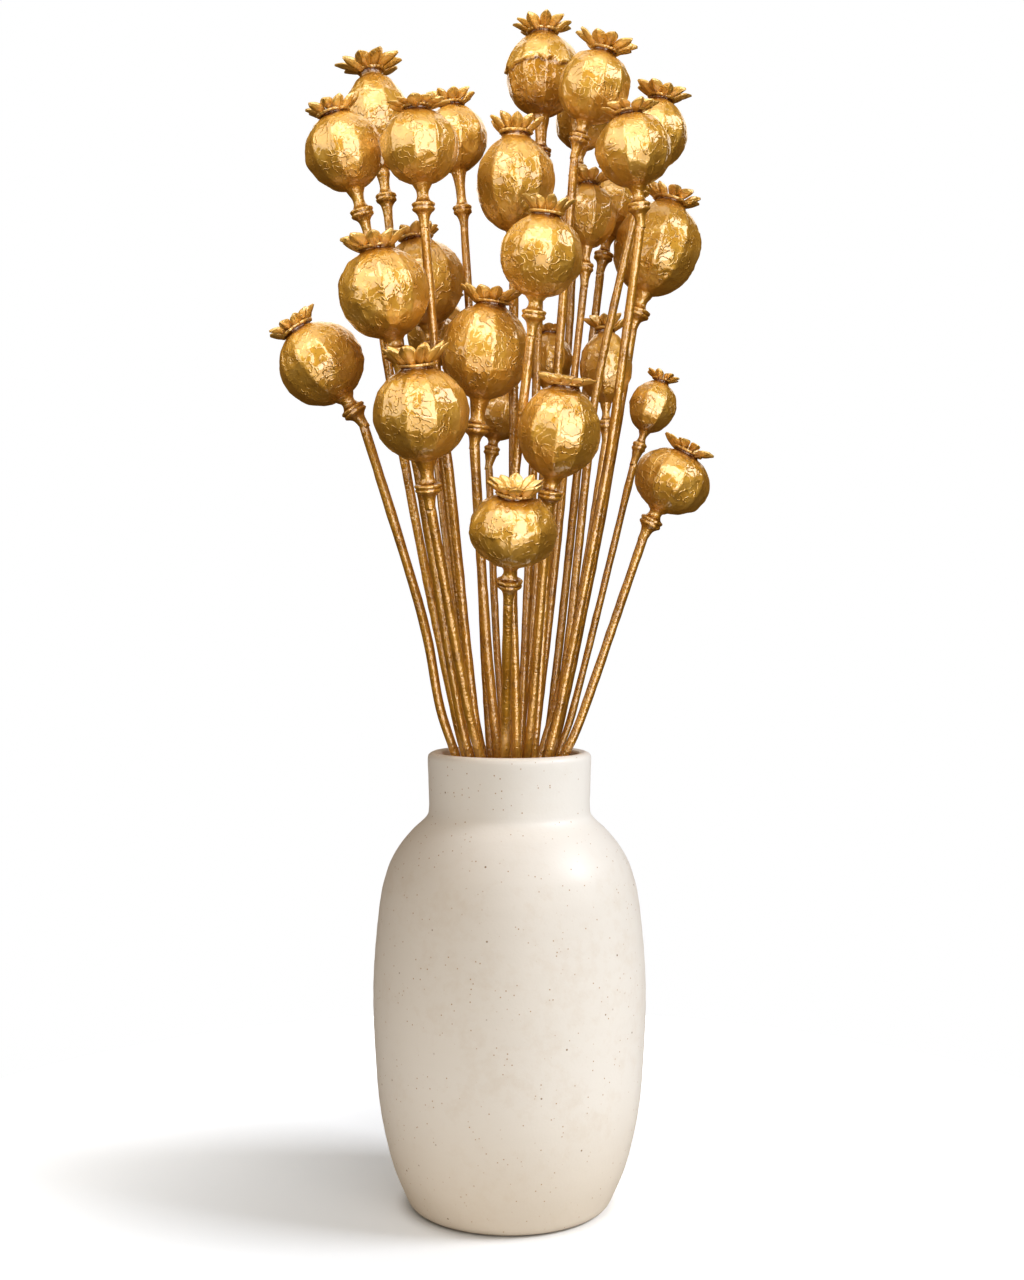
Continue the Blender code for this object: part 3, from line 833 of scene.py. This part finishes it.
def lobe(name, curl, fold, pointed):
    """A unit lobe with its tip at the origin and its root at -X, boat-shaped and thick."""
    u = np.linspace(0, 1, LOBE_ROWS) ** 0.9
    v = np.linspace(-1, 1, LOBE_COLUMNS)
    wide = 0.5 * np.interp(u, *np.array(LOBE_WIDTH).T) * (1 - pointed * u ** 3)
    u, v = np.meshgrid(u, v, indexing="ij")
    wide = wide[:, None]
    middle = (fold * (v ** 2 - 0.3) * wide * 2 + curl * u ** 2
              - GROOVE_DEEP * np.exp(-(v / 0.16) ** 2) - curl)
    thick = LOBE_THICK * (1 - 0.45 * v ** 2) * (1 - 0.45 * u)
    # Painted highlight over the lobe, with painted shade down the groove and at the root.
    painted_shade_and_highlight = PAINTED_HIGHLIGHT + 0.7 * np.exp(-(v / 0.14) ** 2) * (1 - 0.6 * u) + 0.7 * (1 - u) ** 4
    sheets = [np.stack([u - 1, v * wide, middle + side * thick / 2], axis=-1) for side in (1, -1)]
    places = np.concatenate([sheet.reshape(-1, 3) for sheet in sheets])
    faces = lobe_faces(LOBE_ROWS, LOBE_COLUMNS)
    mesh = mesh_from(name, [(places, faces, np.tile(painted_shade_and_highlight.reshape(-1), 2), LOBE_SKIN)])
    lobes.objects.link(bpy.data.objects.new(name, mesh))


lobes = bpy.data.collections.new("lobes")
lobe("lobe_open", 0.08, 0.16, 0.0)
lobe("lobe_folded", 0.00, 0.34, 0.25)
lobe("lobe_curled", 0.22, 0.24, 0.1)

# %% [markdown]
# ## The crown
#
# The solid gives each lobe's tip. A tree puts an instance there, turns it to point outward with
# its hollow up, stretches it so that its root meets the lip, and rolls and widens it a little at
# random. Lobes could be placed by a loop too, but instancing on points does a whole crown at
# once and picks one of the three shapes for each.

# %% Crown tree
ROOT_OF_WAIST, ROOT_HIGH_MM = 0.75, 0.35
LOBE_OVERLAP = 1.06
LOBE_ROLL = 0.45
SLIMMEST, FULLEST = 0.85, 1.12


def crown_tree():
    tree, given = new_tree("Crown_of_lobes", {
        "Lobes": "Collection", "Root radius": "Float", "Root height": "Float",
        "Width": "Float", "Turn": "Float", "Seed": "Int", "Material": "Material"})
    place = add(tree, "GeometryNodeInputPosition")
    flat = add(tree, "ShaderNodeVectorMath", {"operation": "MULTIPLY"}, {
        0: place, 1: (1.0, 1.0, 0.0)})
    outward = add(tree, "ShaderNodeVectorMath", {"operation": "NORMALIZE"}, {0: flat})
    reach = add(tree, "ShaderNodeVectorMath", {"operation": "SCALE"}, {
        0: outward, "Scale": given["Root radius"]})
    high = add(tree, "ShaderNodeCombineXYZ", None, {"Z": given["Root height"]})
    root = add(tree, "ShaderNodeVectorMath", {"operation": "ADD"}, {0: reach, 1: high})
    along = add(tree, "ShaderNodeVectorMath", {"operation": "SUBTRACT"}, {0: place, 1: root})
    length = add(tree, "ShaderNodeVectorMath", {"operation": "LENGTH"}, {0: along})
    aim = add(tree, "FunctionNodeAxesToRotation", {"primary_axis": "X", "secondary_axis": "Z"}, {
        "Primary Axis": along, "Secondary Axis": (0.0, 0.0, 1.0)})
    roll = add(tree, "FunctionNodeRandomValue", {"data_type": "FLOAT"}, {
        2: -0.5, 3: 0.5, "Seed": given["Seed"]})
    rolled = add(tree, "ShaderNodeMath", {"operation": "MULTIPLY"}, {
        0: roll.outputs[1], 1: given["Turn"]})
    twist = add(tree, "ShaderNodeCombineXYZ", None, {"X": rolled})
    twist_turn = add(tree, "FunctionNodeEulerToRotation", None, {"Euler": twist})
    aimed = add(tree, "FunctionNodeRotateRotation", {"rotation_space": "LOCAL"}, {
        "Rotation": aim, "Rotate By": twist_turn})
    fuller = add(tree, "FunctionNodeRandomValue", {"data_type": "FLOAT"}, {
        2: SLIMMEST, 3: FULLEST, "Seed": given["Seed"]})
    width = add(tree, "ShaderNodeMath", {"operation": "MULTIPLY"}, {
        0: given["Width"], 1: fuller.outputs[1]})
    size = add(tree, "ShaderNodeCombineXYZ", None, {
        "X": length.outputs["Value"], "Y": width, "Z": width})
    pick = add(tree, "FunctionNodeRandomValue", {"data_type": "INT"}, {
        4: 0, 5: 2, "Seed": given["Seed"]})
    shapes = add(tree, "GeometryNodeCollectionInfo", None, {
        "Collection": given["Lobes"], "Separate Children": True, "Reset Children": True})
    crown = add(tree, "GeometryNodeInstanceOnPoints", None, {
        "Points": given["Geometry"], "Instance": shapes, "Pick Instance": True,
        "Instance Index": pick.outputs[2], "Rotation": aimed, "Scale": size})
    close_tree(tree, crown, given["Material"])
    return tree


crown_rule = crown_tree()


def crown_part(p, seed):
    """The crown as arrays, in the head's own frame."""
    points = [(r * math.cos(a), r * math.sin(a), z) for r, a, z in p["tips"]]
    tips = bpy.data.meshes.new("tips")
    tips.from_pydata(points, [], [])
    root = ROOT_OF_WAIST * p["waist"]
    middle = (root + np.mean([r for r, _, _ in p["tips"]])) / 2
    return arrays_from(run_tree(crown_rule, tips, {
        "Lobes": lobes, "Root radius": root, "Root height": p["long"] + ROOT_HIGH_MM * MM,
        "Width": 2 * math.pi * middle / p["lobes"] * LOBE_OVERLAP, "Turn": LOBE_ROLL,
        "Seed": seed, "Material": gold}))


print("crown faces:", len(crown_part(poppies[names[0]], 1)[1]))

# %% [markdown]
# ## Dried skin
#
# The skin shrinks over the seed chambers as it dries and takes shallow dents with soft ridges
# between them, like crumpled foil. A smooth Voronoi gives such bowls, a ridged noise the raised
# lines, and a broad noise a slow swell, which also makes some places calmer than others. Each
# point moves along its own normal, by the attribute skin, so the change is real shape that every
# view keeps.

# %% Skin tree
DENT_MM, DENT_DEEP_MM = 5.4, 0.85
RIDGE_MM, RIDGE_HIGH_MM = 7.0, 0.25
SWELL_MM, SWELL_DEEP_MM = 14.0, 1.3
BEND_MM = 6.0
CALM_SHARE = 0.25


def skin_tree():
    tree, given = new_tree("Dried_skin", {
        "Dent size": "Float", "Dent depth": "Float", "Swell size": "Float",
        "Swell depth": "Float", "Ridge size": "Float", "Ridge height": "Float",
        "Seed": "Float", "Material": "Material"})
    place = add(tree, "GeometryNodeInputPosition")
    skin = add(tree, "GeometryNodeInputNamedAttribute", {"data_type": "FLOAT"}, {"Name": "skin"})
    scale = {key: add(tree, "ShaderNodeMath", {"operation": "DIVIDE"}, {
        0: 1.0, 1: given[key + " size"]}) for key in ("Swell", "Dent", "Ridge")}
    swell = add(tree, "ShaderNodeTexNoise", {"noise_dimensions": "4D"}, {
        "Vector": place, "W": given["Seed"], "Scale": scale["Swell"], "Detail": 1.0})
    bent = add(tree, "ShaderNodeVectorMath", {"operation": "MULTIPLY_ADD"}, {
        0: swell.outputs["Color"], 1: (BEND_MM * MM, BEND_MM * MM, BEND_MM * MM), 2: place})
    dent = add(tree, "ShaderNodeTexVoronoi", {
        "feature": "SMOOTH_F1", "voronoi_dimensions": "4D"}, {
        "Vector": bent, "W": given["Seed"], "Scale": scale["Dent"], "Smoothness": 0.25})
    deep = add(tree, "ShaderNodeMapRange", {"clamp": False}, {
        "Value": dent.outputs["Distance"], "From Min": 0.1, "From Max": 0.9, "To Min": -0.5,
        "To Max": 0.5})
    calm = add(tree, "ShaderNodeMapRange", None, {
        "Value": swell.outputs["Fac"], "From Min": 0.3, "From Max": 0.65, "To Min": CALM_SHARE,
        "To Max": 1.0})
    dented = add(tree, "ShaderNodeMath", {"operation": "MULTIPLY"}, {
        0: deep.outputs["Result"], 1: calm.outputs["Result"]})
    dented_mm = add(tree, "ShaderNodeMath", {"operation": "MULTIPLY"}, {
        0: dented, 1: given["Dent depth"]})
    line = add(tree, "ShaderNodeTexNoise", {
        "noise_dimensions": "4D", "noise_type": "RIDGED_MULTIFRACTAL"}, {
        "Vector": bent, "W": given["Seed"], "Scale": scale["Ridge"], "Detail": 0.0,
        "Offset": 1.0})
    ridge = add(tree, "ShaderNodeMapRange", {"interpolation_type": "SMOOTHSTEP"}, {
        "Value": line.outputs["Fac"], "From Min": 0.68, "From Max": 1.0})
    ridge_mm = add(tree, "ShaderNodeMath", {"operation": "MULTIPLY"}, {
        0: ridge.outputs["Result"], 1: given["Ridge height"]})
    ridged = add(tree, "ShaderNodeMath", {"operation": "MULTIPLY_ADD"}, {
        0: ridge_mm, 1: calm.outputs["Result"], 2: dented_mm})
    swollen = add(tree, "ShaderNodeMath", {"operation": "SUBTRACT"}, {
        0: swell.outputs["Fac"], 1: 0.5})
    total = add(tree, "ShaderNodeMath", {"operation": "MULTIPLY_ADD"}, {
        0: swollen, 1: given["Swell depth"], 2: ridged})
    high = add(tree, "ShaderNodeMath", {"operation": "MULTIPLY"}, {
        0: total, 1: skin.outputs["Attribute"]})
    offset = add(tree, "ShaderNodeVectorMath", {"operation": "SCALE"}, {
        0: add(tree, "GeometryNodeInputNormal"), "Scale": high})
    moved = add(tree, "GeometryNodeSetPosition", None, {
        "Geometry": given["Geometry"], "Offset": offset})
    close_tree(tree, moved, given["Material"])
    return tree


skin_rule = skin_tree()

# %% [markdown]
# ## Growing the poppies
#
# Every poppy is joined from its three parts, wrinkled, and stored as one object that takes the
# place of its solid. Its number is its seed, so no two are alike and each run gives the same.


# %% Poppies
def placed(part, matrix):
    """A part's arrays moved by a matrix."""
    m = np.array(matrix)
    return (part[0] @ m[:3, :3].T + m[:3, 3], *part[1:])


gilded = bpy.data.collections.new("gilded")
for number, name in enumerate(names, 1):
    p = poppies[name]
    head = placed(head_part(p, number, name == TORN_HEAD), p["place"])
    crown = placed(crown_part(p, number), p["place"])
    whole = mesh_from(name, [stem_part(p), head, crown])
    grown = run_tree(skin_rule, whole, {
        "Dent size": DENT_MM * MM, "Dent depth": DENT_DEEP_MM * MM, "Swell size": SWELL_MM * MM,
        "Swell depth": SWELL_DEEP_MM * MM, "Ridge size": RIDGE_MM * MM,
        "Ridge height": RIDGE_HIGH_MM * MM, "Seed": float(number), "Material": gold})
    piece = bpy.data.objects.new("gilded_" + name, grown)
    bpy.context.scene.collection.objects.link(piece)
    gilded.objects.link(piece)
    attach(piece, "root")
    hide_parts(name)
print("last poppy triangles:", sum(len(f.vertices) - 2 for f in grown.polygons))

# %% [markdown]
# ## The vase's outline
#
# A thrown pot is a turned shape, so one outline says all of it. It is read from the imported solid
# where that crosses the XZ plane: up the inside from the floor, over the lip, and down the
# outside to the foot. A smooth curve through those points takes away the solid's flats.

# %% Vase outline
VASE_STEP = 1.2 * MM


def vase_outline(places, near):
    """The solid's outline in the XZ plane, from the floor inside, over the lip, to the foot."""
    on_plane = [i for i, q in enumerate(places) if abs(q[1]) < 0.01 * MM and q[0] > 1 * MM]
    left = set(on_plane)
    ends = [i for i in on_plane if len(left.intersection(near[i])) == 1]
    here = max(ends, key=lambda i: places[i, 2])
    chain = []
    while here is not None:
        chain.append(places[here][[0, 2]])
        left.discard(here)
        nearby = [i for i in near[here] if i in left]
        here = min(nearby, key=lambda i: np.linalg.norm(places[i] - places[here]), default=None)
    return np.array(chain)


outline = vase_outline(vase_places, vase_near)
smooth = even_path(np.column_stack([outline, np.zeros(len(outline))]), VASE_STEP)[:, :2]
print("vase outline points:", len(outline), "smoothed:", len(smooth))

# %% [markdown]
# ## The vase
#
# The potter's fingers leave faint rings up the wall, and the pot goes a little out of round as
# it is lifted from the wheel. Both fade before the lip and the foot, which were trimmed true. The
# foot is cut in under the wall, and the lowest part is fuller than the solid draws it, as the
# photograph shows. The rings and the lost roundness are shape, so that the light catches them.

# %% Vase
VASE_COLUMNS = 176
RING_MM, RING_HIGH_MM = 8.0, 0.035
RING_DRIFT_MM = 37.0
OVAL_MM, OVAL_TWIST_MM = 0.25, 60.0
TRUE_FOOT_MM, FOOT_FADE_MM = 6.0, 20.0
TRUE_LIP_MM, LIP_FADE_MM = 14.0, 10.0
FOOT_IN_MM, FOOT_HIGH_MM = 1.8, 2.4
FULLER_MM, FULLER_BELOW_MM = 1.7, 62.0
WALL_FROM_MM = 30.0


def vase_mesh(wall, height):
    """The turned vase, from its outline's radii and heights."""
    theta = 2 * np.pi * np.arange(VASE_COLUMNS) / VASE_COLUMNS
    outside = np.arange(len(height)) > np.argmax(height)
    fade = (np.clip((height - TRUE_FOOT_MM * MM) / (FOOT_FADE_MM * MM), 0, 1) * outside
            * np.clip((outline[:, 1].max() - TRUE_LIP_MM * MM - height) / (LIP_FADE_MM * MM), 0, 1))
    rings = RING_HIGH_MM * MM * fade * np.sin(
        height / (RING_MM * MM) * 2 * np.pi + 2.0 * np.sin(height / (RING_DRIFT_MM * MM)))
    foot = FOOT_IN_MM * MM * np.clip(1 - height / (FOOT_HIGH_MM * MM), 0, 1) ** 2 * outside
    fuller = FULLER_MM * MM * outside * np.clip(1 - height / (FULLER_BELOW_MM * MM), 0, 1)
    fuller *= wall > WALL_FROM_MM * MM
    oval = OVAL_MM * MM * fade[:, None] * np.cos(
        2 * theta + 0.6 + height[:, None] / (OVAL_TWIST_MM * MM))
    places, faces = turned((wall + rings - foot + fuller)[:, None] + oval, height, theta)
    # The outline runs down the outside, so each face is turned over.
    return mesh_from("stoneware_vase", [(places, [face[::-1] for face in faces], 0.0, 0.0)])


vase = bpy.data.objects.new("stoneware_vase", vase_mesh(*smooth.T))
vase.data.materials.append(glaze)
bpy.context.scene.collection.objects.link(vase)
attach(vase, "root")
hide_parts("Vase")
print("vase faces:", len(vase.data.polygons))

# %% [markdown]
# ## The floor
#
# The vase stands on white paper that was lightened in the photograph until only a soft shadow is
# left at its foot and to its left. White paper under the same lamps would come out grey, so the
# paper glows: little near the vase, more further out, and not at all in the narrow line where
# the two meet. It isn't mirrored in the gold, which would otherwise look lit from below.

# %% Floor
FLOOR_RADIUS = 0.34
FLOOR_SIDES = 95
# Metres from the middle, with the glow there.
GLOW_NEAR, GLOW_FAR = (0.04, 0.22), (0.33, 0.8)
CONTACT_FROM, CONTACT_TO = 0.041, 0.052


def white_paper():
    material = bpy.data.materials.new("Matt_white_paper")
    material.use_nodes = True
    tree = material.node_tree
    place = add(tree, "ShaderNodeTexCoord").outputs["Object"]
    far = add(tree, "ShaderNodeVectorMath", {"operation": "LENGTH"}, {0: place}).outputs["Value"]
    glow = add(tree, "ShaderNodeMapRange", {"interpolation_type": "SMOOTHSTEP"}, {
        "Value": far, "From Min": GLOW_NEAR[0], "From Max": GLOW_FAR[0], "To Min": GLOW_NEAR[1],
        "To Max": GLOW_FAR[1]})
    contact = add(tree, "ShaderNodeMapRange", {"interpolation_type": "SMOOTHSTEP"}, {
        "Value": far, "From Min": CONTACT_FROM, "From Max": CONTACT_TO})
    both = add(tree, "ShaderNodeMath", {"operation": "MULTIPLY"}, {
        0: glow.outputs["Result"], 1: contact.outputs["Result"]})
    shader = tree.nodes["Principled BSDF"]
    shader.inputs["Base Color"].default_value = linear("#F4F3F1")
    shader.inputs["Roughness"].default_value = 0.9
    shader.inputs["Emission Color"].default_value = linear("#FFFFFF")
    tree.links.new(both.outputs["Value"], shader.inputs["Emission Strength"])
    return material


floor_mesh = bpy.data.meshes.new("floor")
around = 2 * np.pi * np.arange(FLOOR_SIDES) / FLOOR_SIDES
floor_mesh.from_pydata([(FLOOR_RADIUS * math.cos(a), FLOOR_RADIUS * math.sin(a), 0.0)
                        for a in around], [], [range(FLOOR_SIDES)])
floor_mesh.materials.append(white_paper())
floor = bpy.data.objects.new("floor", floor_mesh)
floor.visible_glossy = False
bpy.context.scene.collection.objects.link(floor)
print("floor metres across:", 2 * FLOOR_RADIUS)

# %% [markdown]
# ## The lamps
#
# The object was photographed in large soft lights. Gold shows what it reflects, so the lamps
# matter as much as its colour: a tall softbox in front gives each capsule its bright window, and
# others fill the left, the top and the back. Light that suits the gold would burn out the pale
# glaze, and a photographer masks it by hand. Light linking does the same here: each lamp lights
# one collection only, the gilded plants, the vase, or the vase with the floor.

# %% Lamps
MIDDLE = Vector((0.0, 0.0, 0.33))

clay, plain = bpy.data.collections.new("clay"), bpy.data.collections.new("plain")
clay.objects.link(vase)
plain.objects.link(vase)
plain.objects.link(floor)

# Rows of (name, azimuth, elevation, distance, width, height, watts, colour, what it lights).
SOFTBOXES = [
    ("window", 20, 18, 1.1, 0.90, 1.00, 5.3, "#FFFFFF", plain),
    ("fill", -50, 25, 1.6, 1.2, 1.2, 6.2, "#FFEAD2", clay),
    ("window_on_gold", 18, 10, 1.08, 0.8, 1.4, 8.2, "#FFFFFF", gilded),
    ("upper_on_gold", -8, 54, 1.4, 1.3, 0.7, 5.4, "#FFF8EA", gilded),
    ("left_on_gold", -56, 30, 1.5, 1.8, 1.8, 14.5, "#FFF8EA", gilded),
    ("top_on_gold", 10, 88, 1.4, 1.4, 1.4, 5.0, "#FFF8EA", gilded),
    ("low_on_gold", 8, -30, 1.3, 1.4, 0.7, 5.0, "#FFEBCC", gilded),
    ("key_on_gold", 72, 36, 1.3, 0.5, 0.6, 3.0, "#FFFCF5", gilded),
    ("back_on_gold", 176, 40, 1.5, 1.4, 1.4, 9.0, "#FFF8EA", gilded),
    ("key", 78, 34, 2.6, 1.0, 1.0, 55, "#EEF4FF", plain)]


def softbox(name, azimuth, elevation, distance, wide, tall, power, colour, lit):
    """A rectangular area light that looks at the middle of the object and lights what is lit."""
    lamp = bpy.data.lights.new(name, "AREA")
    lamp.shape, lamp.size, lamp.size_y = "RECTANGLE", wide, tall
    lamp.energy, lamp.color = power, linear(colour)[:3]
    thing = bpy.data.objects.new(name, lamp)
    a, e = math.radians(azimuth), math.radians(elevation)
    way = Vector((math.sin(a) * math.cos(e), -math.cos(a) * math.cos(e), math.sin(e)))
    thing.location = MIDDLE + way * distance
    thing.rotation_euler = way.to_track_quat("Z", "Y").to_euler()
    bpy.context.scene.collection.objects.link(thing)
    thing.light_linking.receiver_collection = lit


for row in SOFTBOXES:
    softbox(*row)

# %% [markdown]
# ## The room
#
# The camera sees plain white. What the pieces see is a dim room, darker in front, where the
# photographer stands, and darker low down. In a mirrored ray the room is amber: gilded heads
# mostly mirror each other, and those many bounces, too dear to trace, leave a deep warm brown.
# The picture was brightened in its middle tones, and the view's gamma does that.

# %% Room
# Where each change starts and ends along a ray's direction, with the strength at that end.
FRONT, BEHIND = (-0.7, 0.17), (0.6, 0.36)
LOW, HIGH = (-0.3, 0.45), (0.1, 1.0)
ROOM_WHITE, ROOM_AMBER = "#FFFDF9", "#BC863C"

world = bpy.data.worlds.new("white_room")
bpy.context.scene.world = world
world.use_nodes = True
sky = world.node_tree
sky.nodes.clear()
way = add(sky, "ShaderNodeSeparateXYZ", None, {
    0: add(sky, "ShaderNodeTexCoord").outputs["Generated"]})
depth = add(sky, "ShaderNodeMapRange", {"interpolation_type": "SMOOTHSTEP"}, {
    "Value": way.outputs["Y"], "From Min": FRONT[0], "From Max": BEHIND[0], "To Min": FRONT[1],
    "To Max": BEHIND[1]})
height = add(sky, "ShaderNodeMapRange", {"interpolation_type": "SMOOTHSTEP"}, {
    "Value": way.outputs["Z"], "From Min": LOW[0], "From Max": HIGH[0], "To Min": LOW[1],
    "To Max": HIGH[1]})
strength = add(sky, "ShaderNodeMath", {"operation": "MULTIPLY"}, {
    0: depth.outputs["Result"], 1: height.outputs["Result"]})
ray = add(sky, "ShaderNodeLightPath")
tint = add(sky, "ShaderNodeMix", {"data_type": "RGBA"}, {
    0: ray.outputs["Is Glossy Ray"], 6: linear(ROOM_WHITE), 7: linear(ROOM_AMBER)})
dim = add(sky, "ShaderNodeBackground", None, {"Color": tint.outputs[2], "Strength": strength})
seen = add(sky, "ShaderNodeBackground", None, {"Color": linear("#FFFFFF"), "Strength": 1.0})
mixed = add(sky, "ShaderNodeMixShader", None, {
    0: ray.outputs["Is Camera Ray"], 1: dim.outputs[0], 2: seen.outputs[0]})
add(sky, "ShaderNodeOutputWorld", None, {"Surface": mixed.outputs[0]})
bpy.context.scene.view_settings.view_transform = "Standard"
bpy.context.scene.view_settings.gamma = 0.85
print("room nodes:", len(sky.nodes), "gamma:", bpy.context.scene.view_settings.gamma)

# %% [markdown]
# ## The last update
#
# The view layer is updated once more, so that every object's matrix is current.

# %% Last update
bpy.context.view_layer.update()
